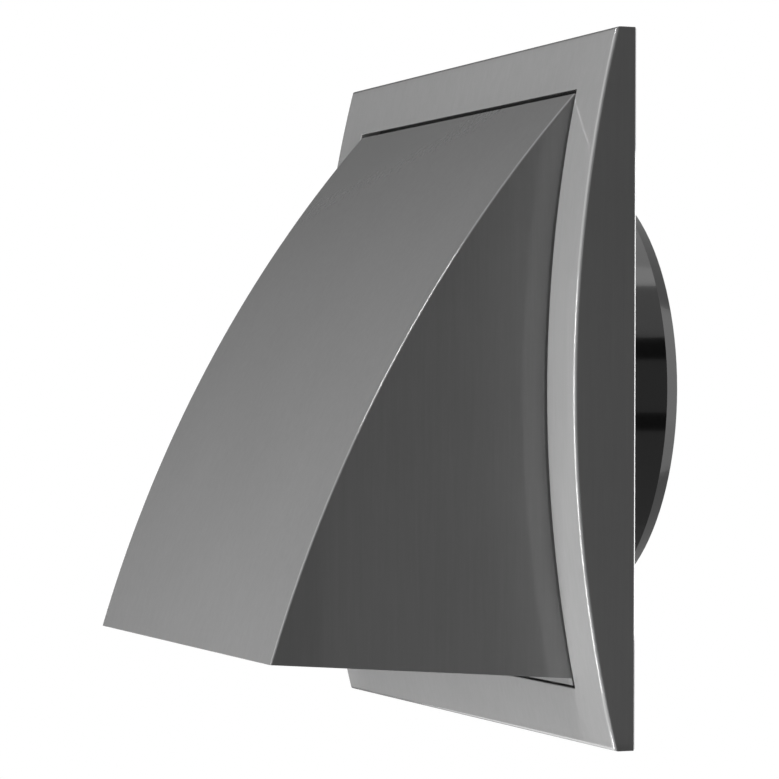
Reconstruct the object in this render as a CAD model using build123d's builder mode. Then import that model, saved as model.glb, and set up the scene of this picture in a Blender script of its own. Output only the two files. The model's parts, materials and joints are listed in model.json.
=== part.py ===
from build123d import *
import os
from math import sqrt

# Wall outlet for a round ventilation duct: an arched square face frame, a
# curved weather hood that plugs into it, and a wall base with the duct spigot
# and a gravity flap. Millimetres. X runs to the right seen from the front,
# Y into the wall, Z up. The origin lies on the spigot's axis in the plane of
# the wall. A depth is measured forward from the wall, so it is minus Y.

# Duct spigot, which sets the size of all the rest
spigot_radius = 49.55
spigot_wall = 2.2
spigot_length = 23.5
lead_in_length = 3.2
lead_in_drop = 1.55

# Face frame
side_border = 25.45  # from the spigot's outside to the frame's side edges
end_border = 25.45  # from the spigot's outside to its top and bottom edges
frame_edge_depth = 4.7  # at the top and bottom edges
frame_crown_depth = 14.2  # at mid height, where the arch is highest
frame_skin = 2.0
skirt_wall = 2.2
front_edge_round = 0.3
back_edge_bevel = 0.4

# Opening in the face frame, lined by a collar
side_strip = 13.35  # width of the frame beside the opening
end_band = 11.95  # width of the frame above and below it
collar_wall = 1.8
opening_edge_round = 0.3

# Weather hood
hood_reach = 74.6  # depth of the front lower edge
hood_lip_rise = 6.65  # of the front lower edge above the opening's lower edge
hood_radius = 315.4  # curve of the front, seen from the side
hood_gap_side = 0.4  # at the wall
hood_draft = 2.4  # each side leans in by this much up to the front lower edge
hood_wall = 2.0
hood_ridge_round = 0.4
hood_gap_top = 0.9
hood_gap_bottom = 0.6
bar_step = 1.5  # the foot bar stands this much below the side walls
bar_height = 3.6

# Snap nibs on the hood's sides and their windows in the collar
nib_length = 10.0
nib_height = 1.4
nib_bite = 1.3
nib_depth = 5.6
nib_spacing = 70.0
nib_clearance = 0.3

# Wall base: plate, duct spigot and flap seat
base_thickness = 2.5
base_corner = 1.5
base_clearance = 0.3
ledge_width = 2.85  # between the spigot's bore and the aperture
seat_width = 3.2
seat_height = 2.5

# Holes for the screws into the wall
wall_hole_side_inset = 9.65  # from the opening's side edges
wall_hole_end_inset = 11.05  # from the opening's top and bottom edges
wall_hole_radius = 2.25
wall_hole_sink_radius = 4.3
wall_pad_radius = 6.0
wall_pad_height = 1.5
sink_angle = 90.0

# Screws that hold the face frame to the wall base, put in from behind
screw_spacing_z = 60.0
screw_core_radius = 1.1
screw_head_radius = 2.6
screw_length = 9.0
screw_clearance = 0.05
screw_hole_radius = 1.6
screw_tip_space = 0.6
boss_radius = 3.2
boss_web = 1.2

# Gravity flap, its seal and its hinge
seal_thickness = 1.5
seal_width = 2.2
seal_gap = 0.2
flap_lap = 3.0  # beyond the aperture's edge
flap_thickness = 1.4
flap_rim_width = 1.3
flap_rim_height = 1.0
flap_rib_width = 1.2
flap_rib_spacing = 30.0
flap_tab_height = 20.0
hinge_rise = 2.5  # of the hinge's axis above the flap's disc
hinge_offset = 1.1  # of the hinge's axis in front of the disc
rod_radius = 1.0
rod_running_clearance = 0.05
rod_seat_clearance = 0.02
rod_end_gap = 0.1
rod_end_bevel = 0.2
knuckle_radius = 2.3
knuckle_length = 6.0
knuckle_inner_x = 24.0
knuckle_web = 5.0
lug_gap = 0.4
lug_width = 4.0
lug_radius = 2.7
lug_foot = 5.0
cap_radius = 2.6
cap_length = 2.4
cap_floor = 0.8
cap_bevel = 0.4

# Insect screen, moulded bars behind the aperture, held by three catches
screen_clearance = 0.25
screen_ring_wall = 1.8
screen_ring_length = 4.0
screen_bar = 0.9
screen_bar_depth = 1.4
screen_pitch = 3.9
screen_tie_pitch = 21.0
catch_bite = 0.7
catch_length = 1.8
catch_tip_length = 0.6
catch_gap = 0.15
catch_count = 3
catch_angle = 10.0

os.makedirs("parts", exist_ok=True)

frame_width = 2 * (spigot_radius + side_border)
frame_height = 2 * (spigot_radius + end_border)
opening_width = frame_width - 2 * side_strip
opening_height = frame_height - 2 * end_band
hood_half_width = opening_width / 2 - hood_gap_side
hood_lip_height = hood_lip_rise - opening_height / 2
crown_rise = frame_crown_depth - frame_edge_depth
crown_radius = (frame_height**2 / 4 + crown_rise**2) / (2 * crown_rise)


def frame_depth(height, inset=0.0):
    """Depth of the frame's arched front at a height, or of a shell inside it."""
    centre = frame_crown_depth - crown_radius
    return centre + sqrt((crown_radius - inset) ** 2 - height**2)


hood_top = opening_height / 2 - hood_gap_top
hood_bottom = -opening_height / 2 + hood_gap_bottom
hood_side_foot = hood_bottom + bar_step
hood_top_depth = frame_depth(hood_top)
hood_foot_depth = frame_depth(hood_bottom)

# The hood's front is an arc through its top edge and its lower edge
chord_depth = hood_reach - hood_top_depth
chord_drop = hood_top - hood_lip_height
chord = sqrt(chord_depth**2 + chord_drop**2)
to_centre = sqrt(hood_radius**2 - chord**2 / 4)
hood_centre_depth = (hood_reach + hood_top_depth) / 2 - to_centre * chord_drop / chord
hood_centre_height = (hood_lip_height + hood_top) / 2 - to_centre * chord_depth / chord


def hood_depth(height, inset=0.0):
    """Depth of the hood's curved front at a height, or of a shell inside it."""
    rise = height - hood_centre_height
    return hood_centre_depth + sqrt((hood_radius - inset) ** 2 - rise**2)


def hood_side(depth, inset=0.0):
    """Half the hood's width at a depth, or that of the space inside it."""
    return hood_half_width - hood_draft * depth / hood_reach - inset


spigot_bore = spigot_radius - spigot_wall
aperture_radius = spigot_bore - ledge_width
flap_radius = aperture_radius + flap_lap
seat_front = base_thickness + seat_height
flap_back = seat_front + seal_thickness + seal_gap
flap_front = flap_back + flap_thickness
hinge_height = flap_radius + hinge_rise
hinge_depth = flap_front + hinge_offset
lug_inner_x = knuckle_inner_x + knuckle_length + lug_gap
lug_outer_x = lug_inner_x + lug_width
cap_bore_length = cap_length - cap_floor
wall_hole_spacing_x = opening_width - 2 * wall_hole_side_inset
wall_hole_spacing_z = opening_height - 2 * wall_hole_end_inset

# The frame's screws stand midway between its skirt and its collar
skirt_inner_x = frame_width / 2 - skirt_wall
collar_outer_x = opening_width / 2 + collar_wall
screw_spacing_x = skirt_inner_x + collar_outer_x

# Plane of the wall, facing into the wall
wall_plane = Plane(origin=(0, 0, 0), x_dir=(1, 0, 0), z_dir=(0, 1, 0))

# Hollow behind the frame's skin, between its skirt, its collar and its webbed
# bosses, with the recess that takes the wall base
with BuildPart() as frame_hollow:
    hollow_half = frame_height / 2 - skirt_wall
    hollow_edge = frame_depth(hollow_half, frame_skin)
    with BuildSketch(Plane.YZ):
        with BuildLine():
            Polyline(
                (-hollow_edge, -hollow_half),
                (0, -hollow_half),
                (0, hollow_half),
                (-hollow_edge, hollow_half),
            )
            ThreePointArc(
                (-hollow_edge, hollow_half),
                (-frame_depth(0, frame_skin), 0),
                (-hollow_edge, -hollow_half),
            )
        make_face()
    extrude(amount=skirt_inner_x, both=True)
    with BuildSketch(Plane.XZ.offset(base_thickness)):
        Rectangle(opening_width + 2 * collar_wall, opening_height + 2 * collar_wall)
        with GridLocations(screw_spacing_x, screw_spacing_z, 2, 2):
            Circle(boss_radius)
            Rectangle(skirt_inner_x - collar_outer_x, boss_web)
    extrude(amount=frame_crown_depth, mode=Mode.SUBTRACT)

# Arched square frame
with BuildPart() as face_frame:
    with BuildSketch(Plane.YZ):
        with BuildLine():
            Polyline(
                (-frame_edge_depth, -frame_height / 2),
                (0, -frame_height / 2),
                (0, frame_height / 2),
                (-frame_edge_depth, frame_height / 2),
            )
            ThreePointArc(
                (-frame_edge_depth, frame_height / 2),
                (-frame_crown_depth, 0),
                (-frame_edge_depth, -frame_height / 2),
            )
        make_face()
    extrude(amount=frame_width / 2, both=True)
    fillet(face_frame.faces().filter_by(GeomType.CYLINDER).edges(), front_edge_round)
    chamfer(face_frame.faces().sort_by(Axis.Y)[-1].edges(), back_edge_bevel)
    add(frame_hollow.part, mode=Mode.SUBTRACT)
    with BuildSketch(Plane.XZ):
        Rectangle(opening_width, opening_height)
    extrude(amount=frame_crown_depth, mode=Mode.SUBTRACT)
    arched_front = face_frame.faces().filter_by(GeomType.CYLINDER).sort_by(SortBy.AREA)[-1]
    fillet(arched_front.inner_wires().edges(), opening_edge_round)
    with BuildSketch(Plane.XZ.offset(base_thickness)):
        with GridLocations(screw_spacing_x, screw_spacing_z, 2, 2):
            Circle(screw_core_radius + screw_clearance)
    extrude(amount=screw_length + screw_tip_space - base_thickness, mode=Mode.SUBTRACT)
    for side in (-1, 1):
        with BuildSketch(Plane.YZ.offset(side * opening_width / 2)):
            with Locations((-nib_depth, 0)):
                with GridLocations(0, nib_spacing, 1, 2):
                    Rectangle(nib_height + 2 * nib_clearance, nib_length + 2 * nib_clearance)
        extrude(amount=side * collar_wall, mode=Mode.SUBTRACT)
face_frame.part.label = "face_frame"

# Space inside the hood, open towards the wall and downwards
with BuildPart() as hood_cavity:
    ceiling = hood_top - hood_wall
    bar_top = hood_bottom + bar_height
    below = hood_bottom - bar_height
    middle = (ceiling + below) / 2
    with BuildSketch(Plane.YZ):
        with BuildLine():
            Polyline(
                (-hood_depth(below, hood_wall), below),
                (-hood_foot_depth, below),
                (-hood_foot_depth, bar_top),
                (0, bar_top),
                (0, ceiling),
                (-hood_depth(ceiling, hood_wall), ceiling),
            )
            ThreePointArc(
                (-hood_depth(ceiling, hood_wall), ceiling),
                (-hood_depth(middle, hood_wall), middle),
                (-hood_depth(below, hood_wall), below),
            )
        make_face()
    extrude(amount=hood_half_width, both=True)
    cavity_reach = hood_depth(below)
    with BuildSketch(Plane.XY.offset(below)):
        with BuildLine():
            Polyline(
                (-hood_side(0, hood_wall), 0),
                (hood_side(0, hood_wall), 0),
                (hood_side(cavity_reach, hood_wall), -cavity_reach),
                (-hood_side(cavity_reach, hood_wall), -cavity_reach),
                close=True,
            )
        make_face()
    extrude(amount=hood_top - below, mode=Mode.INTERSECT)

# Hood: curved front and drafted side walls in one moulding, with the bar that
# closes its foot, and snap nibs that hold it in the collar
with BuildPart() as hood:
    middle = (hood_top + hood_lip_height) / 2
    with BuildSketch(Plane.YZ):
        with BuildLine():
            Polyline(
                (-hood_reach, hood_lip_height),
                (-frame_depth(hood_side_foot), hood_side_foot),
                (-hood_foot_depth, hood_bottom),
                (-base_thickness, hood_bottom),
                (-base_thickness, hood_top),
                (-hood_top_depth, hood_top),
            )
            ThreePointArc(
                (-hood_top_depth, hood_top),
                (-hood_depth(middle), middle),
                (-hood_reach, hood_lip_height),
            )
        make_face()
    extrude(amount=hood_half_width, both=True)
    with BuildSketch(Plane.XY.offset(hood_bottom)):
        with BuildLine():
            Polyline(
                (-hood_side(0), 0),
                (hood_side(0), 0),
                (hood_side(cavity_reach), -cavity_reach),
                (-hood_side(cavity_reach), -cavity_reach),
                close=True,
            )
        make_face()
    extrude(amount=hood_top - hood_bottom, mode=Mode.INTERSECT)
    ridges = (
        hood.faces().filter_by(GeomType.CYLINDER).edges().filter_by(Axis.X, reverse=True)
    )
    fillet(ridges, hood_ridge_round)
    add(hood_cavity.part, mode=Mode.SUBTRACT)
    for side in (-1, 1):
        wall_x = side * hood_side(nib_depth)
        for nib_foot in (-nib_spacing / 2 - nib_length / 2, nib_spacing / 2 - nib_length / 2):
            with BuildSketch(Plane.XY.offset(nib_foot)):
                with BuildLine():
                    Polyline(
                        (wall_x - side * hood_wall / 2, -nib_depth - nib_height / 2),
                        (wall_x + side * nib_bite, -nib_depth - nib_height / 2),
                        (wall_x + side * nib_bite, -nib_depth),
                        (wall_x, -nib_depth + nib_height / 2),
                        (wall_x - side * hood_wall / 2, -nib_depth + nib_height / 2),
                        close=True,
                    )
                make_face()
            extrude(amount=nib_length)
hood.part.label = "hood"

# Wall base: plate, spigot, flap seat and hinge lugs in one moulding
with BuildPart() as wall_base:
    with BuildSketch(Plane.XZ):
        RectangleRounded(
            frame_width - 2 * (skirt_wall + base_clearance),
            frame_height - 2 * (skirt_wall + base_clearance),
            base_corner,
        )
    extrude(amount=base_thickness)
    with BuildSketch(Plane.XY):
        with BuildLine():
            Polyline(
                (spigot_bore, -base_thickness / 2),
                (spigot_radius, -base_thickness / 2),
                (spigot_radius, spigot_length - lead_in_length),
                (spigot_radius - lead_in_drop, spigot_length),
                (spigot_bore, spigot_length),
                close=True,
            )
        make_face()
        with BuildLine():
            Polyline(
                (aperture_radius, -base_thickness / 2),
                (aperture_radius, -seat_front),
                (aperture_radius + seat_width, -seat_front),
                (aperture_radius + seat_width, -base_thickness / 2),
                close=True,
            )
        make_face()
    revolve(axis=Axis.Y)
    with BuildSketch(Plane.XZ):
        Circle(aperture_radius)
    extrude(amount=seat_front, mode=Mode.SUBTRACT)
    with BuildSketch(Plane.YZ.offset(lug_inner_x)):
        with BuildLine():
            Polyline(
                (-hinge_depth, hinge_height + lug_radius),
                (-base_thickness / 2, hinge_height + lug_radius),
                (-base_thickness / 2, hinge_height - lug_radius - lug_foot),
                (-hinge_depth, hinge_height - lug_radius),
            )
            ThreePointArc(
                (-hinge_depth, hinge_height - lug_radius),
                (-hinge_depth - lug_radius, hinge_height),
                (-hinge_depth, hinge_height + lug_radius),
            )
        make_face()
        with Locations((-hinge_depth, hinge_height)):
            Circle(rod_radius + rod_seat_clearance, mode=Mode.SUBTRACT)
    lug = extrude(amount=lug_width)
    mirror(lug, about=Plane.YZ)
    with BuildSketch(Plane.XZ.offset(base_thickness)):
        with GridLocations(wall_hole_spacing_x, wall_hole_spacing_z, 2, 2):
            Circle(wall_pad_radius)
    extrude(amount=wall_pad_height)
    with Locations(Plane.XZ.offset(base_thickness + wall_pad_height)):
        with GridLocations(wall_hole_spacing_x, wall_hole_spacing_z, 2, 2):
            CounterSinkHole(
                wall_hole_radius,
                wall_hole_sink_radius,
                depth=base_thickness + wall_pad_height,
                counter_sink_angle=sink_angle,
            )
    with Locations(wall_plane):
        with GridLocations(screw_spacing_x, screw_spacing_z, 2, 2):
            CounterSinkHole(
                screw_hole_radius,
                screw_head_radius + screw_clearance,
                depth=base_thickness,
                counter_sink_angle=sink_angle,
            )
    catch_front = screen_ring_length + catch_gap
    for number in range(catch_count):
        turn = 90 + number * 360 / catch_count - catch_angle / 2
        with BuildSketch(Plane.XY.rotated((0, turn, 0))):
            with BuildLine():
                Polyline(
                    (spigot_bore + spigot_wall / 2, catch_front),
                    (spigot_bore - catch_bite, catch_front),
                    (spigot_bore - catch_bite, catch_front + catch_tip_length),
                    (spigot_bore, catch_front + catch_length),
                    (spigot_bore + spigot_wall / 2, catch_front + catch_length),
                    close=True,
                )
            make_face()
        revolve(axis=Axis.Y, revolution_arc=catch_angle)
wall_base.part.label = "wall_base"

# Soft ring in front of the seat, which the flap closes on
with BuildPart() as flap_seal:
    seal_inner_radius = aperture_radius + (seat_width - seal_width) / 2
    with BuildSketch(Plane.XZ.offset(seat_front)):
        Circle(seal_inner_radius + seal_width)
        Circle(seal_inner_radius, mode=Mode.SUBTRACT)
    extrude(amount=seal_thickness)
flap_seal.part.label = "flap_seal"

# Gravity flap: a thin disc with rim and ribs, hung from two knuckles
with BuildPart() as backdraft_flap:
    knuckle_outer_x = knuckle_inner_x + knuckle_length
    with BuildSketch(Plane.XZ.offset(flap_back)):
        Circle(flap_radius)
        with Locations((0, hinge_height - flap_tab_height / 2)):
            Rectangle(2 * knuckle_outer_x, flap_tab_height)
    extrude(amount=flap_thickness)
    with BuildSketch(Plane.XZ.offset(flap_front)):
        Circle(flap_radius)
        Circle(flap_radius - flap_rim_width, mode=Mode.SUBTRACT)
    extrude(amount=flap_rim_height)
    with BuildSketch(Plane.XZ.offset(flap_front)):
        with GridLocations(flap_rib_spacing, 0, 2, 1):
            Rectangle(flap_rib_width, 2 * flap_radius)
        Circle(flap_radius, mode=Mode.INTERSECT)
    extrude(amount=flap_rim_height)
    with BuildSketch(Plane.YZ.offset(knuckle_inner_x)):
        with BuildLine():
            Polyline(
                (-flap_back, hinge_height),
                (-flap_back, hinge_height - knuckle_web),
                (-flap_front, hinge_height - knuckle_web),
                (-hinge_depth, hinge_height - knuckle_radius),
                (-hinge_depth, hinge_height),
                close=True,
            )
        make_face()
        with Locations((-hinge_depth, hinge_height)):
            Circle(knuckle_radius)
    knuckle = extrude(amount=knuckle_length)
    mirror(knuckle, about=Plane.YZ)
    with BuildSketch(Plane.YZ):
        with Locations((-hinge_depth, hinge_height)):
            Circle(rod_radius + rod_running_clearance)
    extrude(amount=knuckle_outer_x, both=True, mode=Mode.SUBTRACT)
backdraft_flap.part.label = "backdraft_flap"

# Steel rod through both lugs and both knuckles
with BuildPart() as flap_hinge_rod:
    with BuildSketch(Plane.YZ):
        with Locations((-hinge_depth, hinge_height)):
            Circle(rod_radius)
    extrude(amount=lug_outer_x + cap_bore_length - rod_end_gap, both=True)
    chamfer(flap_hinge_rod.edges().filter_by(GeomType.CIRCLE), rod_end_bevel)
flap_hinge_rod.part.label = "flap_hinge_rod"

# Push-on caps that keep the rod in its lugs
with BuildPart() as rod_cap_right:
    with BuildSketch(Plane.YZ.offset(lug_outer_x)):
        with Locations((-hinge_depth, hinge_height)):
            Circle(cap_radius)
    extrude(amount=cap_length)
    chamfer(rod_cap_right.faces().sort_by(Axis.X)[-1].edges(), cap_bevel)
    with BuildSketch(Plane.YZ.offset(lug_outer_x)):
        with Locations((-hinge_depth, hinge_height)):
            Circle(rod_radius + rod_seat_clearance)
    extrude(amount=cap_bore_length, mode=Mode.SUBTRACT)
rod_cap_right.part.label = "rod_cap_right"

with BuildPart() as rod_cap_left:
    mirror(rod_cap_right.part, about=Plane.YZ)
rod_cap_left.part.label = "rod_cap_left"

# Insect screen: upright bars and a few ties in a ring, set against the aperture's edge
with BuildPart() as insect_screen:
    ring_radius = spigot_bore - screen_clearance
    grid_radius = ring_radius - screen_ring_wall
    bar_count = 2 * int(grid_radius / screen_pitch) + 1
    tie_count = 2 * int(grid_radius / screen_tie_pitch) + 1
    with BuildSketch(wall_plane):
        with GridLocations(screen_pitch, 0, bar_count, 1):
            Rectangle(screen_bar, 2 * grid_radius)
        with GridLocations(0, screen_tie_pitch, 1, tie_count):
            Rectangle(2 * grid_radius, screen_bar)
        Circle(grid_radius, mode=Mode.INTERSECT)
    extrude(amount=screen_bar_depth)
    with BuildSketch(wall_plane):
        Circle(ring_radius)
        Circle(grid_radius, mode=Mode.SUBTRACT)
    extrude(amount=screen_ring_length)
insect_screen.part.label = "insect_screen"

# Countersunk screw that joins the wall base and the face frame
with BuildPart() as frame_screw:
    head_height = screw_head_radius - screw_core_radius
    with BuildSketch(Plane.XY):
        with BuildLine():
            Polyline(
                (0, 0),
                (screw_head_radius, 0),
                (screw_core_radius, -head_height),
                (screw_core_radius, -screw_length),
                (0, -screw_length),
                close=True,
            )
        make_face()
    revolve(axis=Axis.Y)

with BuildPart() as frame_screw_top_left:
    with Locations((-screw_spacing_x / 2, 0, screw_spacing_z / 2)):
        add(frame_screw.part)
frame_screw_top_left.part.label = "frame_screw_top_left"

with BuildPart() as frame_screw_top_right:
    with Locations((screw_spacing_x / 2, 0, screw_spacing_z / 2)):
        add(frame_screw.part)
frame_screw_top_right.part.label = "frame_screw_top_right"

with BuildPart() as frame_screw_bottom_left:
    with Locations((-screw_spacing_x / 2, 0, -screw_spacing_z / 2)):
        add(frame_screw.part)
frame_screw_bottom_left.part.label = "frame_screw_bottom_left"

with BuildPart() as frame_screw_bottom_right:
    with Locations((screw_spacing_x / 2, 0, -screw_spacing_z / 2)):
        add(frame_screw.part)
frame_screw_bottom_right.part.label = "frame_screw_bottom_right"

export_step(wall_base.part, "parts/wall_base.step")
export_step(face_frame.part, "parts/face_frame.step")
export_step(hood.part, "parts/hood.step")
export_step(flap_seal.part, "parts/flap_seal.step")
export_step(backdraft_flap.part, "parts/backdraft_flap.step")
export_step(flap_hinge_rod.part, "parts/flap_hinge_rod.step")
export_step(rod_cap_right.part, "parts/rod_cap_right.step")
export_step(rod_cap_left.part, "parts/rod_cap_left.step")
export_step(insect_screen.part, "parts/insect_screen.step")
export_step(frame_screw_top_left.part, "parts/frame_screw_top_left.step")
export_step(frame_screw_top_right.part, "parts/frame_screw_top_right.step")
export_step(frame_screw_bottom_left.part, "parts/frame_screw_bottom_left.step")
export_step(frame_screw_bottom_right.part, "parts/frame_screw_bottom_right.step")
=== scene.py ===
"""Looks of the ventilation grille: finishes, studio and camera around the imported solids.

Lengths are metres in the part's own frame: X to the right seen from the front, Y into the
wall, Z up, origin on the spigot's axis in the plane of the wall.
"""

import json
import logging
import math
from dataclasses import dataclass, field
from enum import Enum
from typing import Any, Union

import bmesh
import bpy
from mathutils import Matrix, Vector

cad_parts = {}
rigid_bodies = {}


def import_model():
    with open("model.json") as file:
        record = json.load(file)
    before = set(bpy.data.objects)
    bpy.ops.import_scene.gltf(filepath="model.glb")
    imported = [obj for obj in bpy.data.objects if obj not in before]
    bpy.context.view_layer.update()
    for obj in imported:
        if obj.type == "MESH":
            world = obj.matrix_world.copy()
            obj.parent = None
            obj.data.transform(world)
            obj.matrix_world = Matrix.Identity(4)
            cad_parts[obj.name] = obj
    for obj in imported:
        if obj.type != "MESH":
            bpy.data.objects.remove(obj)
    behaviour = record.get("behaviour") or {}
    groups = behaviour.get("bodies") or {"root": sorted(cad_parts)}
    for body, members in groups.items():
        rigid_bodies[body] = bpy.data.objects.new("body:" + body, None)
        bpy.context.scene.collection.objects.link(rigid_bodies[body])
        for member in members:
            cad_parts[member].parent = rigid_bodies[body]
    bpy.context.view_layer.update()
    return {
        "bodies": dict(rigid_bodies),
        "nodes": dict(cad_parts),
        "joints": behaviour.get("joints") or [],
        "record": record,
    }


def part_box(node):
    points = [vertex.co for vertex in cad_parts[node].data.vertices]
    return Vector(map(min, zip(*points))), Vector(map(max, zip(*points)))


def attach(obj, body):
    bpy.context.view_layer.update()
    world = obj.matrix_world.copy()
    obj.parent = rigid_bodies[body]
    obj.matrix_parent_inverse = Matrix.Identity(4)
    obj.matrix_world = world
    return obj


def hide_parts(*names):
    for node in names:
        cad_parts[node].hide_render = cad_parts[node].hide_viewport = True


log = logging.getLogger("grille")

Colour = tuple[float, float, float]
Point = tuple[float, float, float]
Pair = tuple[float, float]
Corners = tuple[Point, Point, Point, Point]
RingPlace = tuple[float, float, Union[float, None], float]
Number = Union[int, float]
Feed = Union["Value", Number, Colour]

WHITE: Colour = (1.0, 1.0, 1.0)
NOISE_MEAN = 0.5
MIRRORED_RAYS = ("Is Glossy Ray", "Is Transmission Ray")
QUARTERS = tuple((side, level) for side in (-1, 1) for level in (-1, 1))


class Body(Enum):
    """The body that the pieces built here ride on."""

    HOUSING = "housing"


class Run(Enum):
    """Which way the polishing or drawing lines of a finish run."""

    UPRIGHT = (1.0, 1.0, 0.04)
    ALONG_DEPTH = (1.0, 0.04, 1.0)
    ACROSS = (0.04, 1.0, 1.0)


class FrameSlot(Enum):
    """Material slots of the face frame, in their order."""

    SKIN = 0
    COLLAR_SHADE = 1
    EDGE_HIGHLIGHT = 2


class Value:
    """A shader socket that takes part in arithmetic."""

    def __init__(self, sheet: "ShaderSheet", socket: bpy.types.NodeSocket | None) -> None:
        """Keeps the sheet that the socket's node is on, and the socket."""
        self.sheet = sheet
        self.socket = socket

    def _math(self, operation: str, first: Feed, second: Feed) -> "Value":
        """Adds one Math node.

        Args:
            operation: the Math node's operation.
            first: what goes into its first socket.
            second: what goes into its second socket.

        Returns:
            The node's result.
        """
        return self.sheet.node("ShaderNodeMath", {"operation": operation}, {0: first, 1: second})

    def __add__(self, other: Feed) -> "Value":
        """Sum of two values."""
        return self._math("ADD", self, other)

    def __radd__(self, other: Feed) -> "Value":
        """Sum with a number on the left."""
        return self._math("ADD", other, self)

    def __sub__(self, other: Feed) -> "Value":
        """Difference of two values."""
        return self._math("SUBTRACT", self, other)

    def __rsub__(self, other: Feed) -> "Value":
        """Difference with a number on the left."""
        return self._math("SUBTRACT", other, self)

    def __mul__(self, other: Feed) -> "Value":
        """Product of two values."""
        return self._math("MULTIPLY", self, other)

    def __rmul__(self, other: Feed) -> "Value":
        """Product with a number on the left."""
        return self._math("MULTIPLY", other, self)

    def larger(self, other: Feed) -> "Value":
        """The larger of two values."""
        return self._math("MAXIMUM", self, other)


class ShaderSheet:
    """The node sheet of a material or of the world, built from plain values and links."""

    def __init__(self, owner: Union[bpy.types.Material, bpy.types.World]) -> None:
        """Takes over the owner's node sheet and empties it."""
        self.owner = owner
        owner.use_nodes = True
        self.tree = owner.node_tree
        self.tree.nodes.clear()

    def node(
        self,
        kind: str,
        settings: dict[str, Any] | None = None,
        sockets: dict[Union[str, int], Feed] | None = None,
        output: Union[str, int] = 0,
    ) -> Value:
        """Adds one node.

        Args:
            kind: the node's type.
            settings: its properties, set before its sockets.
            sockets: values or links for its inputs, by name or place.
            output: which output to hand back, by name or place.

        Returns:
            That output as a value, empty for a node without outputs.
        """
        made = self.tree.nodes.new(kind)
        for key, setting in (settings or {}).items():
            setattr(made, key, setting)
        for key, feed in (sockets or {}).items():
            self._feed(made.inputs[key], feed)
        return Value(self, made.outputs[output] if made.outputs else None)

    def _feed(self, socket: bpy.types.NodeSocket, feed: Feed) -> None:
        """Links a value into a socket, or sets a number or colour on it.

        Args:
            socket: the input.
            feed: a value, a number or a colour.
        """
        if isinstance(feed, Value):
            self.tree.links.new(feed.socket, socket)
        elif socket.type == "RGBA" and isinstance(feed, tuple):
            socket.default_value = (*feed, 1.0)
        else:
            socket.default_value = feed

    def place(self, stretch: Point = (1.0, 1.0, 1.0)) -> Value:
        """Place on the piece in metres, stretched along each axis.

        Args:
            stretch: factor for each axis.

        Returns:
            The stretched place.
        """
        here = self.node("ShaderNodeTexCoord", output="Object")
        return self.node("ShaderNodeMapping", sockets={"Vector": here, "Scale": stretch})

    def noise(self, place: Value, scale: float, detail: float = 2.0, roughness: float = 0.5) -> Value:
        """Soft noise from 0 to 1.

        Args:
            place: where the noise is read.
            scale: cells per metre.
            detail: octaves.
            roughness: weight of the finer octaves.

        Returns:
            The noise.
        """
        feeds = {"Vector": place, "Scale": scale, "Detail": detail, "Roughness": roughness}
        return self.node("ShaderNodeTexNoise", {}, feeds, output="Fac")

    def blend(self, share: Feed, first: Feed, second: Feed) -> Value:
        """Mixes two colours.

        Args:
            share: share of the second colour.
            first: the first colour.
            second: the second colour.

        Returns:
            The mixed colour.
        """
        feeds = {0: share, 6: first, 7: second}
        return self.node("ShaderNodeMix", {"data_type": "RGBA"}, feeds, output=2)

    def bump(self, height: Value, depth: float, under: Value | None = None) -> Value:
        """Relief of the surface.

        Args:
            height: height from 0 to 1.
            depth: metres that 1 stands for.
            under: relief that this one lies on.

        Returns:
            The normal.
        """
        feeds: dict[Union[str, int], Feed] = {"Height": height, "Strength": 1.0, "Distance": depth}
        if under is not None:
            feeds["Normal"] = under
        return self.node("ShaderNodeBump", {}, feeds)

    def finish(self, sockets: dict[Union[str, int], Feed]) -> bpy.types.Material:
        """Closes a material's sheet with the surface shader.

        Args:
            sockets: what goes into the shader's sockets.

        Returns:
            The finished material.
        """
        surface = self.node("ShaderNodeBsdfPrincipled", {}, sockets)
        self.node("ShaderNodeOutputMaterial", {}, {"Surface": surface})
        return self.owner


def grey(tone: float) -> Colour:
    """Makes a grey of that tone."""
    return (tone, tone, tone)


def shade(colour: Colour, factor: float) -> Colour:
    """Makes a colour lighter or darker by a factor."""
    return tuple(min(1.0, factor * part) for part in colour)


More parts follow.
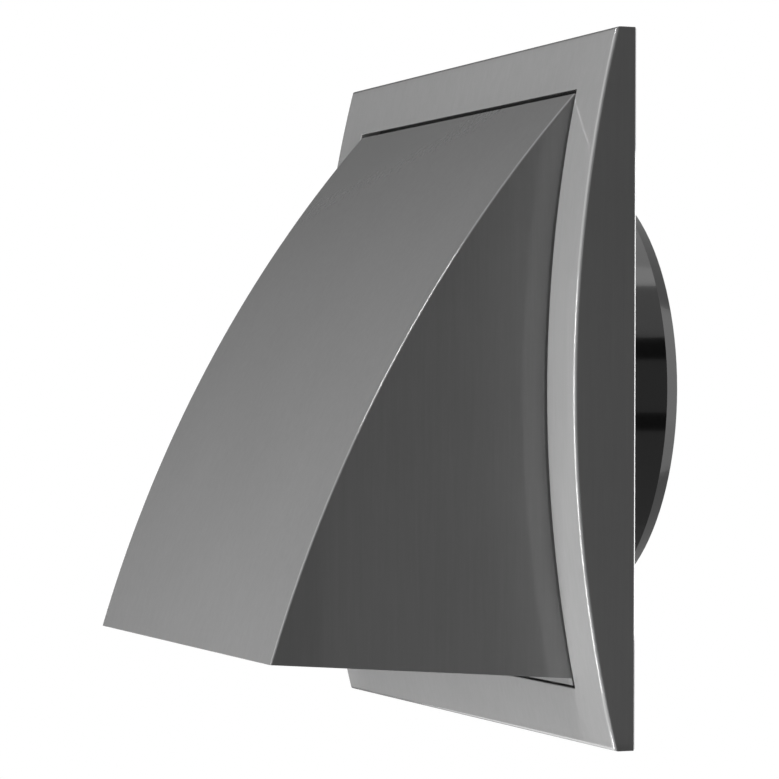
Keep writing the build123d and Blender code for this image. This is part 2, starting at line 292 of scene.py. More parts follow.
@dataclass(frozen=True)
class MouldedPlastic:
    """Moulded plastic under a clear gloss, with the fine lines of the tool's polishing."""

    name: str
    colour: Colour
    roughness: float
    run: Run = Run.UPRIGHT
    reflection: float = 0.5
    gloss: float = 0.0
    cloudiness: float = 0.5
    streakiness: float = 0.35
    line_share: float = 0.3
    line_depth: float = 0.000001
    grain_depth: float = 0.000001
    cloud_scale: float = 35.0
    streak_scale: float = 800.0
    line_scale: float = 2600.0
    grain_scale: float = 3800.0
    tone_spread: float = 0.15
    cloud_roughness: float = 0.08
    streak_roughness: float = 0.06
    gloss_spread: float = 0.4
    gloss_roughness: float = 0.03

    def make(self) -> bpy.types.Material:
        """Builds the material.

        Returns:
            The material.
        """
        sheet = ShaderSheet(bpy.data.materials.new(self.name))
        cloud = sheet.noise(sheet.place(), self.cloud_scale, detail=3.0)
        streaks = sheet.noise(sheet.place(self.run.value), self.streak_scale, roughness=0.6)
        lines = sheet.noise(sheet.place(self.run.value), self.line_scale, detail=3.0, roughness=0.6)
        grain = sheet.noise(sheet.place(), self.grain_scale)
        uneven, streaky = cloud - NOISE_MEAN, streaks - NOISE_MEAN
        share = NOISE_MEAN + self.cloudiness * uneven + self.streakiness * streaky
        share = share + self.line_share * (lines - NOISE_MEAN)
        dark, light = (shade(self.colour, 1 + way * self.tone_spread) for way in (-1, 1))
        relief = sheet.bump(grain, self.grain_depth, sheet.bump(lines, self.line_depth))
        return sheet.finish(
            {
                "Base Color": sheet.blend(share, dark, light),
                "Roughness": self.roughness
                + self.cloud_roughness * uneven
                + self.streak_roughness * streaky,
                "Specular IOR Level": self.reflection,
                "Coat Weight": self.gloss * (1 - self.gloss_spread / 2 + self.gloss_spread * cloud),
                "Coat Roughness": self.gloss_roughness,
                "Normal": relief,
            }
        )


@dataclass(frozen=True)
class PlatedSteel:
    """Zinc plated or drawn steel with crystal clouds and fine scratches."""

    name: str
    colour: Colour
    roughness: float
    run: Run = Run.ACROSS
    crystal_scale: float = 400.0
    crystal_shade: float = 0.6
    scratch_scale: float = 5000.0
    scratch_roughness: float = 0.2
    scratch_depth: float = 0.000004

    def make(self) -> bpy.types.Material:
        """Builds the material.

        Returns:
            The material.
        """
        sheet = ShaderSheet(bpy.data.materials.new(self.name))
        crystals = sheet.noise(sheet.place(), self.crystal_scale, detail=3.0)
        scratch = sheet.noise(sheet.place(self.run.value), self.scratch_scale)
        return sheet.finish(
            {
                "Base Color": sheet.blend(crystals, self.colour, shade(self.colour, self.crystal_shade)),
                "Metallic": 1.0,
                "Roughness": self.roughness + self.scratch_roughness * (scratch - NOISE_MEAN),
                "Normal": sheet.bump(scratch, self.scratch_depth),
            }
        )


@dataclass(frozen=True)
class SealRubber:
    """Soft cellular rubber of the flap's seal."""

    name: str
    colour: Colour
    roughness: float = 0.85
    cell_scale: float = 2500.0
    cell_depth: float = 0.00005
    cloud_scale: float = 300.0
    cloud_shade: float = 1.8
    cloud_roughness: float = 0.1

    def make(self) -> bpy.types.Material:
        """Builds the material.

        Returns:
            The material.
        """
        sheet = ShaderSheet(bpy.data.materials.new(self.name))
        feeds = {"Vector": sheet.place(), "Scale": self.cell_scale}
        cells = sheet.node("ShaderNodeTexVoronoi", {}, feeds)
        cloud = sheet.noise(sheet.place(), self.cloud_scale, detail=3.0)
        return sheet.finish(
            {
                "Base Color": sheet.blend(cloud, self.colour, shade(self.colour, self.cloud_shade)),
                "Roughness": self.roughness + self.cloud_roughness * (cloud - NOISE_MEAN),
                "Normal": sheet.bump(cells, self.cell_depth),
            }
        )


Finish = Union[MouldedPlastic, PlatedSteel, SealRubber]


@dataclass
class Shelf:
    """Materials made so far, so that pieces of one finish share it."""

    made: dict[str, bpy.types.Material] = field(default_factory=dict)

    def fetch(self, finish: Finish) -> bpy.types.Material:
        """Hands out the material of a finish.

        Args:
            finish: the finish.

        Returns:
            Its material, made on first use.
        """
        if finish.name not in self.made:
            self.made[finish.name] = finish.make()
        return self.made[finish.name]


def put_in_scene(name: str, data: bpy.types.ID) -> bpy.types.Object:
    """Adds an object to the scene.

    Args:
        name: the object's name.
        data: its mesh, lamp or camera.

    Returns:
        The object.
    """
    made = bpy.data.objects.new(name, data)
    bpy.context.scene.collection.objects.link(made)
    return made


def point_about(axis: Vector, turn: float, radius: float, depth: float) -> Vector:
    """Point at a turn and radius about a level axis, forward of the wall by a depth."""
    return axis + Vector((radius * math.cos(turn), -depth, radius * math.sin(turn)))


def ring_about(
    bm: bmesh.types.BMesh, axis: Vector, radius: float, depth: float, steps: int
) -> list[bmesh.types.BMVert]:
    """Adds a ring of vertices about a level axis.

    Args:
        bm: the mesh under construction.
        axis: where the axis meets the wall.
        radius: the ring's radius.
        depth: how far forward of the wall it lies.
        steps: its number of vertices.

    Returns:
        The ring's vertices.
    """
    turns = [2 * math.pi * step / steps for step in range(steps)]
    return [bm.verts.new(point_about(axis, turn, radius, depth)) for turn in turns]


def bridge(
    bm: bmesh.types.BMesh, first: list[bmesh.types.BMVert], second: list[bmesh.types.BMVert]
) -> list[bmesh.types.BMFace]:
    """Joins two rings of the same count with four-sided faces.

    Args:
        bm: the mesh under construction.
        first: one ring.
        second: the other ring.

    Returns:
        The faces.
    """
    faces = []
    for place in range(len(first)):
        after = (place + 1) % len(first)
        faces.append(bm.faces.new((first[place], first[after], second[after], second[place])))
    return faces


def add_box(bm: bmesh.types.BMesh, middle: Vector, size: Point) -> set[bmesh.types.BMFace]:
    """Adds a box.

    Args:
        bm: the mesh under construction.
        middle: the box's middle.
        size: its three edges.

    Returns:
        Its faces.
    """
    matrix = Matrix.Translation(middle) @ Matrix.Diagonal((*size, 1.0))
    made = bmesh.ops.create_cube(bm, size=1.0, matrix=matrix)
    return {face for vert in made["verts"] for face in vert.link_faces}


@dataclass
class SubAssembly:
    """Pieces of the grille that are fitted as one, with the solids that keep their shape."""

    frame: dict[str, Any]
    shelf: Shelf

    def dress(self, node: str, finish: Finish) -> None:
        """Gives a solid its material.

        Args:
            node: the solid's name.
            finish: its finish.
        """
        solid = self.frame["nodes"][node]
        for slot in solid.material_slots:
            slot.material = self.shelf.fetch(finish)
        log.info("%s: %s, %d faces", node, finish.name, len(solid.data.polygons))

    def build(self) -> None:
        """Builds and dresses the sub-assembly's pieces."""
        raise NotImplementedError


@dataclass
class FaceFrame(SubAssembly):
    """The arched square frame: skin, skirt, collar with snap windows, screw bosses and webs.

    Bosses and webs are closed shells of their own that overlap the skin, where nothing shows.
    The edge finish is a painted highlight on the front round of the side edges and the collar
    finish is painted shade on the inner walls of the gap over the hood. Both belong to the same
    moulding as the skin. The front round is 0.3 mm in part.py.
    """

    skin_plastic: MouldedPlastic = MouldedPlastic(
        "frame_plastic", grey(0.35), 0.08, reflection=1.0, gloss=1.0
    )
    # Painted highlight: a lighter grey on the front round along the side edges.
    edge_highlight_plastic: MouldedPlastic = MouldedPlastic(
        "painted_highlight_edge_finish", grey(0.55), 0.2, reflection=0.6, gloss=0.5
    )
    # Painted shade: near black on the collar's inner walls, so the gap over the hood reads dark.
    collar_painted_shade: MouldedPlastic = MouldedPlastic("collar_painted_shade", grey(0.012), 0.7, reflection=0.1)
    half_width: float = 0.075
    half_height: float = 0.075
    edge_depth: float = 0.0047
    crown_depth: float = 0.0142
    skin: float = 0.002
    skirt_wall: float = 0.0022
    front_round: float = 0.0008
    back_bevel: float = 0.0004
    opening_half_width: float = 0.06165
    opening_half_height: float = 0.06305
    opening_round: float = 0.0003
    collar_wall: float = 0.0018
    base_recess: float = 0.0025
    boss_radius: float = 0.0032
    boss_hole_radius: float = 0.00115
    boss_hole_depth: float = 0.0096
    boss_sink: float = 0.001
    boss_web: float = 0.0012
    web_overlap: float = 0.0005
    screw_spacing_x: float = 0.13625
    screw_spacing_z: float = 0.06
    window_depth: float = 0.0056
    window_height: float = 0.002
    window_length: float = 0.0106
    window_spacing: float = 0.07
    cutter_walls: float = 1.4  # width of a window's cutter, in collar walls
    upright_steps: int = 120
    level_steps: int = 12
    front_steps: int = 8
    boss_steps: int = 40
    round_angles: tuple[int, ...] = (0, 18, 36, 54, 72, 90)  # degrees
    underside_shares: tuple[float, ...] = (0.0, 0.33, 0.67, 1.0)
    sharp_angle: float = 30.0  # degrees
    wall_tolerance: float = 1e-5  # how near a collar face lies to its wall's plane
    collar_ahead: float = 0.01  # the most that a collar face looks forward
    edge_across: Pair = (0.08, 0.6)  # least and most that an edge facet looks sideways
    edge_ahead: float = 0.7  # the least that an edge facet looks forward

    def build(self) -> None:
        """Builds the frame and lets it stand for its solid."""
        mesh = self._cut_windows(self._shell())
        bm = bmesh.new()
        bm.from_mesh(mesh)
        for side, level in QUARTERS:
            self._boss(bm, side, level)
        bm.to_mesh(mesh)
        bm.free()
        for polygon in mesh.polygons:
            polygon.use_smooth = True
            polygon.material_index = self._slot_of(polygon).value
        mesh.set_sharp_from_angle(angle=math.radians(self.sharp_angle))
        mesh.materials.clear()
        for finish in (self.skin_plastic, self.collar_painted_shade, self.edge_highlight_plastic):
            mesh.materials.append(self.shelf.fetch(finish))
        frame = put_in_scene("arched_frame", mesh)
        weights = frame.modifiers.new("even_shading", "WEIGHTED_NORMAL")
        weights.keep_sharp = True
        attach(frame, Body.HOUSING.value)
        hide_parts("face_frame")
        log.info("%s: %s, %d faces", frame.name, self.skin_plastic.name, len(mesh.polygons))

    def _front(self, height: float, inset: float = 0.0) -> float:
        """Depth of the arched front, or of a shell inside it.

        Args:
            height: Z of the place.
            inset: how far the shell lies behind the front.

        Returns:
            The depth forward of the wall.
        """
        rise = self.crown_depth - self.edge_depth
        radius = (self.half_height**2 + rise**2) / (2 * rise)
        return self.crown_depth - radius + math.sqrt((radius - inset) ** 2 - height**2)

    def _outline(self, half_x: float, half_z: float) -> list[Pair]:
        """Points around a rectangle, close together on its upright sides.

        Args:
            half_x: half its width.
            half_z: half its height.

        Returns:
            Pairs of X and Z, from the lower right corner around.
        """
        rise = [-1 + 2 * step / self.upright_steps for step in range(self.upright_steps)]
        run = [1 - 2 * step / self.level_steps for step in range(self.level_steps)]
        points = [(half_x, half_z * share) for share in rise]
        points += [(half_x * share, half_z) for share in run]
        points += [(-half_x, -half_z * share) for share in rise]
        points += [(-half_x * share, -half_z) for share in run]
        return points

    @staticmethod
    def _between(first: Pair, second: Pair, share: float) -> Pair:
        """Half width and half height at a share of the way from one ring to another."""
        return tuple(start * (1 - share) + end * share for start, end in zip(first, second))

    def _profile(self) -> list[RingPlace]:
        """Section of the frame from the back edge over the front into the hollow.

        Returns:
            For each ring its half width and half height, its fixed depth or None for the
            arch, and how far it lies behind the arch, or minus the inset of a shell inside it.
        """
        turns = [math.radians(angle) for angle in self.round_angles]
        wide, high = self.half_width, self.half_height
        inner_wide, inner_high = self.opening_half_width, self.opening_half_height
        bevel, edge, lip = self.back_bevel, self.front_round, self.opening_round
        rings: list[RingPlace] = [(wide - bevel, high - bevel, 0.0, 0.0), (wide, high, bevel, 0.0)]
        for turn in turns:
            inset = edge * (1 - math.cos(turn))
            rings.append((wide - inset, high - inset, None, edge * (1 - math.sin(turn))))
        outside, inside = (wide - edge, high - edge), (inner_wide + lip, inner_high + lip)
        for step in range(1, self.front_steps):
            rings.append((*self._between(outside, inside, step / self.front_steps), None, 0.0))
        for turn in reversed(turns):
            outset = lip * (1 - math.cos(turn))
            rings.append((inner_wide + outset, inner_high + outset, None, lip * (1 - math.sin(turn))))
        collar = (inner_wide + self.collar_wall, inner_high + self.collar_wall)
        skirt = (wide - self.skirt_wall, high - self.skirt_wall)
        rings.append((inner_wide, inner_high, self.base_recess, 0.0))
        rings.append((*collar, self.base_recess, 0.0))
        for share in self.underside_shares:
            rings.append((*self._between(collar, skirt, share), None, -self.skin))
        rings.append((*skirt, 0.0, 0.0))
        return rings

    def _shell(self) -> bpy.types.Mesh:
        """Makes skin, skirt and collar as one closed shell.

        Returns:
            The shell's mesh.
        """
        bm = bmesh.new()
        rings = []
        for half_x, half_z, fixed, behind in self._profile():
            ring = []
            for x, z in self._outline(half_x, half_z):
                if fixed is not None:
                    depth = fixed
                elif behind < 0:
                    depth = self._front(z, -behind)
                else:
                    depth = self._front(z) - behind
                ring.append(bm.verts.new((x, -depth, z)))
            rings.append(ring)
        for number, ring in enumerate(rings):
            bridge(bm, ring, rings[(number + 1) % len(rings)])
        bmesh.ops.recalc_face_normals(bm, faces=bm.faces)
        mesh = bpy.data.meshes.new("arched_frame")
        bm.to_mesh(mesh)
        bm.free()
        return mesh

    def _cut_windows(self, mesh: bpy.types.Mesh) -> bpy.types.Mesh:
        """Cuts the four snap windows through the collar's sides.

        Args:
            mesh: the shell's mesh.

        Returns:
            The cut shell's mesh.
        """
        cutters = bmesh.new()
        middle_x = self.opening_half_width + self.collar_wall / 2
        size = (self.cutter_walls * self.collar_wall, self.window_height, self.window_length)
        for side, level in QUARTERS:
            middle = Vector((side * middle_x, -self.window_depth, level * self.window_spacing / 2))
            add_box(cutters, middle, size)
        cutter_mesh = bpy.data.meshes.new("window_cutters")
        cutters.to_mesh(cutter_mesh)
        cutters.free()
        shell = put_in_scene("shell", mesh)
        cutter = put_in_scene("window_cutters", cutter_mesh)
        cut = shell.modifiers.new("windows", "BOOLEAN")
        cut.operation = "DIFFERENCE"
        cut.solver = "EXACT"
        cut.object = cutter
        bpy.context.view_layer.update()
        seen = shell.evaluated_get(bpy.context.evaluated_depsgraph_get())
        done = bpy.data.meshes.new_from_object(seen)
        done.name = "arched_frame"
        for piece in (shell, cutter):
            bpy.data.objects.remove(piece)
        return done

    def _boss(self, bm: bmesh.types.BMesh, side: int, level: int) -> None:
        """Adds one screw boss with its two webs, sunk into the skin.

        Args:
            bm: the mesh under construction.
            side: -1 for left or 1 for right.
            level: -1 for lower or 1 for upper.
        """
        x, z = side * self.screw_spacing_x / 2, level * self.screw_spacing_z / 2
        top = self._front(z, self.skin) + self.boss_sink
        profile = [
            (self.boss_hole_radius, self.boss_hole_depth),
            (self.boss_hole_radius, self.base_recess),
            (self.boss_radius, self.base_recess),
            (self.boss_radius, top),
        ]
        axis = Vector((x, 0.0, z))
        rings = [ring_about(bm, axis, radius, depth, self.boss_steps) for radius, depth in profile]
        faces = [bm.faces.new(rings[0]), bm.faces.new(rings[-1])]
        for first, second in zip(rings, rings[1:]):
            faces += bridge(bm, first, second)
        inner = self.opening_half_width + self.collar_wall
        outer = self.half_width - self.skirt_wall
        for start, end in ((inner, abs(x) - self.boss_radius), (abs(x) + self.boss_radius, outer)):
            middle = Vector((side * (start + end) / 2, -(self.base_recess + top) / 2, z))
            size = (end - start + self.web_overlap, top - self.base_recess, self.boss_web)
            faces += add_box(bm, middle, size)
        bmesh.ops.recalc_face_normals(bm, faces=faces)

    def _slot_of(self, polygon: bpy.types.MeshPolygon) -> FrameSlot:
        """Tells which finish a face has.

        Args:
            polygon: the face.

        Returns:
            The collar's slot of painted shade for its inner walls, the edge's slot of painted
            highlight for facets of the front round along the side edges, and the skin's for the rest.
        """
        x, _, z = polygon.center
        across, ahead = abs(polygon.normal.x), abs(polygon.normal.y)
        wide, high = self.opening_half_width, self.opening_half_height
        on_side = abs(abs(x) - wide) < self.wall_tolerance and abs(z) < high
        on_end = abs(abs(z) - high) < self.wall_tolerance and abs(x) < wide
        if (on_side or on_end) and ahead < self.collar_ahead:
            return FrameSlot.COLLAR_SHADE
        least, most = self.edge_across
        on_edge = abs(x) > self.half_width - self.front_round
        if on_edge and least < across < most and ahead > self.edge_ahead:
            return FrameSlot.EDGE_HIGHLIGHT
        return FrameSlot.SKIN


@dataclass
class WeatherHood(SubAssembly):
    """The hood: curved front, side walls and foot bar in one moulding."""

    plastic: MouldedPlastic = MouldedPlastic(
        "hood_plastic", grey(0.285), 0.1, reflection=0.9, gloss=0.8
    )

    def build(self) -> None:
        """Dresses the hood."""
        self.dress("hood", self.plastic)


@dataclass
class WallUnit(SubAssembly):
    """The parts on the duct: wall base with spigot and seat, seal and insect screen."""

    base: MouldedPlastic = MouldedPlastic(
        "base_plastic", grey(0.02), 0.12, Run.ALONG_DEPTH, reflection=1.0, gloss=0.5, line_depth=0.000002
    )
    mesh: MouldedPlastic = MouldedPlastic(
        "screen_plastic", grey(0.05), 0.45, line_depth=0.0, grain_depth=0.00001
    )
    rubber: SealRubber = SealRubber("seal_rubber", grey(0.03))

    def build(self) -> None:
        """Dresses base, screen and seal."""
        self.dress("wall_base", self.base)
        self.dress("insect_screen", self.mesh)
        self.dress("flap_seal", self.rubber)


@dataclass
class FlapUnit(SubAssembly):
    """The gravity flap on its rod with its two caps."""

    plate: MouldedPlastic = MouldedPlastic("flap_plastic", grey(0.02), 0.3)
    rod: PlatedSteel = PlatedSteel("rod_steel", grey(0.6), 0.3)
    cap: PlatedSteel = PlatedSteel("cap_steel", grey(0.5), 0.35, Run.UPRIGHT)

    def build(self) -> None:
        """Dresses flap, rod and caps."""
        self.dress("backdraft_flap", self.plate)
        self.dress("flap_hinge_rod", self.rod)
        for side in ("left", "right"):
            self.dress(f"rod_cap_{side}", self.cap)


@dataclass
class FrameScrews(SubAssembly):
    """The four countersunk screws from behind, with cross recess and rolled thread."""

    steel: PlatedSteel = PlatedSteel("screw_steel", grey(0.55), 0.35)
    head_radius: float = 0.0026
    rim_height: float = 0.00015
    core_radius: float = 0.0011
    crest_radius: float = 0.00146
    length: float = 0.009
    tip_bevel: float = 0.0003
    thread_pitch: float = 0.00125
    thread_start: float = 0.0024
    thread_steps: int = 24  # for each turn
    flank_pitches: float = 0.3  # half the height of the thread's foot, in pitches
    crest_share: float = 0.1  # height of its crest, as a share of its foot's
    root_share: float = 0.97  # radius of its foot, as a share of the core's
    fade_steps: int = 10  # over which it runs out
    recess_reach: float = 0.00145
    recess_width: float = 0.00058
    recess_depth: float = 0.0013
    recess_taper: float = 0.55
    steps: int = 48
    sharp_angle: float = 32.0  # degrees

    def build(self) -> None:
        """Builds each screw in the place of its solid."""
        for height in ("top", "bottom"):
            for side in ("left", "right"):
                self._put_screw(f"frame_screw_{height}_{side}")

    def _put_screw(self, node: str) -> None:
        """Builds one screw and lets it stand for its solid.

        Args:
            node: the solid's name.
        """
        low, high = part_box(node)
        axis = Vector(((low[0] + high[0]) / 2, 0.0, (low[2] + high[2]) / 2))
        bm = bmesh.new()
        self._head_and_shank(bm, axis)
        self._thread(bm, axis)
        bmesh.ops.recalc_face_normals(bm, faces=bm.faces)
        mesh = bpy.data.meshes.new(f"{node}_detailed")
        bm.to_mesh(mesh)
        bm.free()
        for polygon in mesh.polygons:
            polygon.use_smooth = True
        mesh.set_sharp_from_angle(angle=math.radians(self.sharp_angle))
        mesh.materials.append(self.shelf.fetch(self.steel))
        screw = put_in_scene(f"{node}_detailed", mesh)
        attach(screw, Body.HOUSING.value)
        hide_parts(node)
        log.info("%s: %s, %d faces", screw.name, self.steel.name, len(mesh.polygons))

    def _recess_outline(self) -> list[Pair]:
        """Outline of the cross recess.

        Returns:
            Pairs of X and Z from the screw's axis, in order around the cross.
        """
        reach, half = self.recess_reach, self.recess_width / 2
        arm = [(reach, -half), (reach, half), (half, half)]
        outline = []
        for quarter in range(4):
            cosine, sine = math.cos(quarter * math.pi / 2), math.sin(quarter * math.pi / 2)
            outline += [(x * cosine - z * sine, x * sine + z * cosine) for x, z in arm]
        return outline

    def _head_and_shank(self, bm: bmesh.types.BMesh, axis: Vector) -> None:
        """Adds head, cross recess and shank.

        Args:
            bm: the mesh under construction.
            axis: where the screw's axis meets the wall.
        """
        cone = self.head_radius - self.core_radius
        profile = [
            (self.head_radius, self.rim_height),
            (self.core_radius, cone + self.rim_height),
            (self.core_radius, self.length - self.tip_bevel),
            (self.core_radius - self.tip_bevel, self.length),
        ]
        rim = ring_about(bm, axis, self.head_radius - self.rim_height, 0.0, self.steps)
        previous = rim
        for radius, depth in profile:
            ring = ring_about(bm, axis, radius, depth, self.steps)
            bridge(bm, previous, ring)
            previous = ring
        bm.faces.new(previous)
        taper, deep = self.recess_taper, self.recess_depth
        outline = self._recess_outline()
        mouth = [bm.verts.new(axis + Vector((x, 0.0, z))) for x, z in outline]
        foot = [bm.verts.new(axis + Vector((taper * x, -deep, taper * z))) for x, z in outline]
        bridge(bm, mouth, foot)
        bm.faces.new(foot)
        edges = [bm.edges.get((ring[i - 1], ring[i])) for ring in (rim, mouth) for i in range(len(ring))]
        bmesh.ops.triangle_fill(bm, use_beauty=True, edges=edges)

    def _thread(self, bm: bmesh.types.BMesh, axis: Vector) -> None:
        """Adds the thread, which runs out at both ends.

        Args:
            bm: the mesh under construction.
            axis: where the screw's axis meets the wall.
        """
        half = self.flank_pitches * self.thread_pitch
        tip = self.crest_share * half
        root = self.root_share * self.core_radius
        stretch = self.length - self.tip_bevel - self.thread_start - 2 * half
        count = int(self.thread_steps * stretch / self.thread_pitch)
        previous: list[bmesh.types.BMVert] = []
        for step in range(count + 1):
            turn = 2 * math.pi * step / self.thread_steps
            depth = self.thread_start + half + stretch * step / count
            fade = min(1.0, step / self.fade_steps, (count - step) / self.fade_steps)
            crest = self.core_radius + fade * (self.crest_radius - self.core_radius)
            corners = ((root, -half), (crest, -tip), (crest, tip), (root, half))
            section = [bm.verts.new(point_about(axis, turn, reach, depth + off)) for reach, off in corners]
            if previous:
                bridge(bm, previous, section)
            else:
                bm.faces.new(section)
            previous = section
        bm.faces.new(previous)


@dataclass
class CameraStand:
    """The photo camera: a long lens from the right, level with the middle of the grille.

    Angles are degrees, the lens and its sensor are millimetres.
    """

    yaw: float = 67.953
    pitch: float = -0.193
    roll: float = 0.165
    distance: float = 0.71257
    side_step: float = -0.022975
    lens: float = 143.37
    sensor: float = 36.0
    nearest: float = 0.01
    farthest: float = 60.0

    def set_up(self) -> None:
        """Places the camera."""
        yaw, pitch, roll = (math.radians(angle) for angle in (self.yaw, self.pitch, self.roll))
        level = math.cos(pitch)
        ahead = Vector((-math.sin(yaw) * level, math.cos(yaw) * level, -math.sin(pitch)))
        right = Vector((math.cos(yaw), math.sin(yaw), 0.0))
        above = right.cross(ahead)
        right, above = (
            right * math.cos(roll) + above * math.sin(roll),
            above * math.cos(roll) - right * math.sin(roll),
        )
        data = bpy.data.cameras.new("photo_camera")
        data.lens = self.lens
        data.sensor_width = self.sensor
        data.clip_start = self.nearest
        data.clip_end = self.farthest
        camera = put_in_scene("photo_camera", data)
        turn = Matrix((right, above, -ahead)).transposed().to_4x4()
        camera.matrix_world = Matrix.Translation(right * self.side_step - ahead * self.distance) @ turn
        bpy.context.scene.camera = camera


@dataclass
class Lamp:
    """A rectangular soft lamp that looks at the grille, with its power in watts."""

    name: str
    place: Point
    width: float
    height: float
    power: float

    def set_up(self) -> None:
        """Hangs the lamp."""
        data = bpy.data.lights.new(self.name, "AREA")
        data.shape = "RECTANGLE"
        data.size = self.width
        data.size_y = self.height
        data.energy = self.power
        lamp = put_in_scene(self.name, data)
        lamp.location = self.place
        lamp.rotation_euler = (-Vector(self.place)).to_track_quat("-Z", "Y").to_euler()
        lamp.visible_camera = False


@dataclass
class Curtain:
    """A cloth or card near the grille, which gloss mirrors and the camera doesn't see."""

    name: str
    corners: Corners
    tone: float
    glow: float = 0.0
    roughness: float = 0.95
    fold_scale: float = 4.0
    fold_stretch: Point = (1.0, 1.0, 0.1)
    fold_spread: float = 0.1

    def hang(self) -> None:
        """Hangs the cloth or card, hidden from the camera."""
        mesh = bpy.data.meshes.new(self.name)
        mesh.from_pydata(self.corners, [], [(0, 1, 2, 3)])
        cloth = put_in_scene(self.name, mesh)
        sheet = ShaderSheet(bpy.data.materials.new(self.name))
        folds = sheet.noise(sheet.place(self.fold_stretch), self.fold_scale)
        dark, light = (grey((1 + way * self.fold_spread) * self.tone) for way in (-1, 1))
        mesh.materials.append(
            sheet.finish(
                {
                    "Base Color": sheet.blend(folds, dark, light),
                    "Roughness": self.roughness,
                    "Emission Color": WHITE,
                    "Emission Strength": self.glow,
                }
            )
        )
        cloth.visible_camera = False


def upright_cloth(side: float) -> Corners:
    """Corners of a curtain that hangs beside the grille.

    Args:
        side: its X.

    Returns:
        The four corners.
    """
    back, front, foot, head = -2.2, 2.2, -0.6, 2.4
    return ((side, back, foot), (side, front, foot), (side, front, head), (side, back, head))


def slope(start: Pair, end: Pair, near: float = 0.0, far: float = 0.45) -> Corners:
    """Corners of a card that spans two lines along Y.

    Args:
        start: X and Z of the first line.
        end: X and Z of the second line.
        near: Y where the lines begin.
        far: Y where the lines end.

    Returns:
        The four corners.
    """
    return (
        (start[0], near, start[1]),
        (end[0], near, end[1]),
        (end[0], far, end[1]),
        (start[0], far, start[1]),
    )


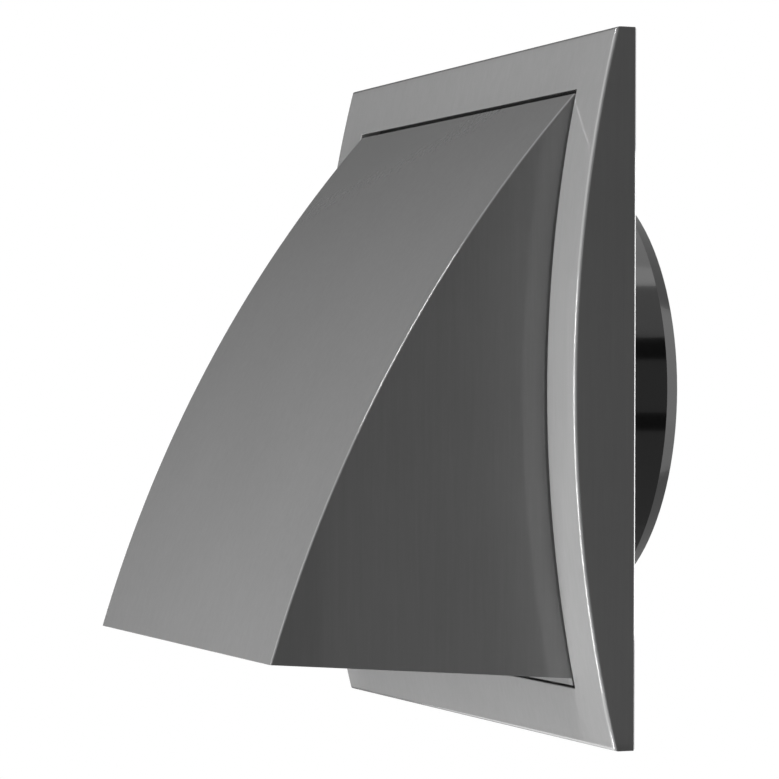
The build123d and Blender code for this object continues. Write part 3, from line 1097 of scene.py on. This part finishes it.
@dataclass
class Studio:
    """White studio with a pale floor, soft lamps, a dark curtain on each side and cards.

    The floor is pale near the grille and fades to white between the two fade radii.
    """

    floor_height: float = -0.6
    floor_half: float = 12.0
    floor_tones: Pair = (0.82, 0.8)
    mottle_scale: float = 3.0
    fade_radii: Pair = (0.8, 4.0)
    fade_shares: Pair = (0.75, 1.0)
    room_level: float = 0.05
    curtains: list[Curtain] = field(
        default_factory=lambda: [
            Curtain("left_curtain", upright_cloth(-1.25), 0.12),
            Curtain("right_curtain", upright_cloth(1.6), 0.08),
            Curtain("right_flag", slope((0.647, -0.244), (0.8, -0.165)), 0.03),
            Curtain("right_card", slope((0.15, -0.5), (0.647, -0.244)), 0.12, 0.12),
            Curtain("low_card", slope((-0.4, -0.5), (0.15, -0.5)), 0.12, 0.15),
            Curtain("back_low_card", slope((-1.2, -0.5), (0.06, -0.5), 0.45, 1.6), 0.12, 0.33),
            Curtain("back_high_card", slope((-1.2, 0.5), (0.06, 0.5), 0.45, 1.6), 0.12, 0.36),
        ]
    )
    lamps: list[Lamp] = field(
        default_factory=lambda: [
            Lamp("high_front_lamp", (0.041, -0.69, 0.58), 0.14, 0.25, 3.7),
            Lamp("tall_front_lamp", (0.05, -0.9, -0.13), 0.1, 0.58, 4.5),
            Lamp("near_low_lamp", (0.017, -0.321, -0.383), 0.1, 0.14, 0.95),
            Lamp("near_right_lamp", (0.129, -0.32, -0.289), 0.08, 0.12, 0.5),
            Lamp("back_lamp", (-0.3, 0.8, 0.0), 0.5, 0.24, 0.64),
            Lamp("upper_side_lamp", (0.79, 0.56, 1.13), 0.5, 1.4, 1.0),
            Lamp("overhead_lamp", (0.26, 0.66, 1.6), 1.2, 0.9, 0.42),
            Lamp("level_side_lamp", (1.37, 0.6, 0.04), 0.5, 0.66, 0.16),
        ]
    )

    def set_up(self) -> None:
        """Builds floor, room light, curtains and lamps."""
        self._lay_floor()
        self._light_room()
        for curtain in self.curtains:
            curtain.hang()
        for lamp in self.lamps:
            lamp.set_up()

    def _lay_floor(self) -> None:
        """Lays the pale floor."""
        half = self.floor_half
        corners = [(x * half, y * half, self.floor_height) for x, y in ((-1, -1), (1, -1), (1, 1), (-1, 1))]
        mesh = bpy.data.meshes.new("floor")
        mesh.from_pydata(corners, [], [(0, 1, 2, 3)])
        floor = put_in_scene("floor", mesh)
        sheet = ShaderSheet(bpy.data.materials.new("pale_floor"))
        mottle = sheet.noise(sheet.place(), self.mottle_scale, detail=4.0)
        tones = (grey(tone) for tone in self.floor_tones)
        pale = sheet.node("ShaderNodeBsdfDiffuse", {}, {"Color": sheet.blend(mottle, *tones)})
        white = sheet.node("ShaderNodeEmission", {}, {"Color": WHITE, "Strength": 1.0})
        length = {"operation": "LENGTH"}
        away = sheet.node("ShaderNodeVectorMath", length, {0: sheet.place()}, output="Value")
        limits = dict(zip(("From Min", "From Max"), self.fade_radii))
        limits |= dict(zip(("To Min", "To Max"), self.fade_shares))
        reach = sheet.node("ShaderNodeMapRange", {"clamp": True}, {"Value": away, **limits})
        seen = sheet.node("ShaderNodeLightPath", output="Is Camera Ray")
        for ray in MIRRORED_RAYS:
            seen = seen + sheet.node("ShaderNodeLightPath", output=ray)
        surface = sheet.node("ShaderNodeMixShader", {}, {0: reach * seen, 1: pale, 2: white})
        sheet.node("ShaderNodeOutputMaterial", {}, {"Surface": surface})
        mesh.materials.append(sheet.owner)

    def _light_room(self) -> None:
        """Gives the room a plain level and a white background for camera, gloss and glass."""
        world = bpy.data.worlds.new("studio_room")
        bpy.context.scene.world = world
        sheet = ShaderSheet(world)
        seen = sheet.node("ShaderNodeLightPath", output="Is Camera Ray")
        for ray in MIRRORED_RAYS:
            seen = seen.larger(sheet.node("ShaderNodeLightPath", output=ray))
        levels = {"Value": seen, "To Min": self.room_level, "To Max": 1.0}
        level = sheet.node("ShaderNodeMapRange", {}, levels)
        room = sheet.node("ShaderNodeBackground", {}, {"Color": WHITE, "Strength": level})
        sheet.node("ShaderNodeOutputWorld", {}, {"Surface": room})


def main() -> None:
    """Loads the frame, builds and dresses every sub-assembly and sets up the studio."""
    logging.basicConfig(level=logging.INFO, format="%(name)s: %(message)s")
    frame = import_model()
    shelf = Shelf()
    for unit in (FaceFrame, WeatherHood, WallUnit, FlapUnit, FrameScrews):
        unit(frame, shelf).build()
    Studio().set_up()
    CameraStand().set_up()
    bpy.context.scene.view_settings.view_transform = "Standard"


if __name__ == "__main__":
    main()
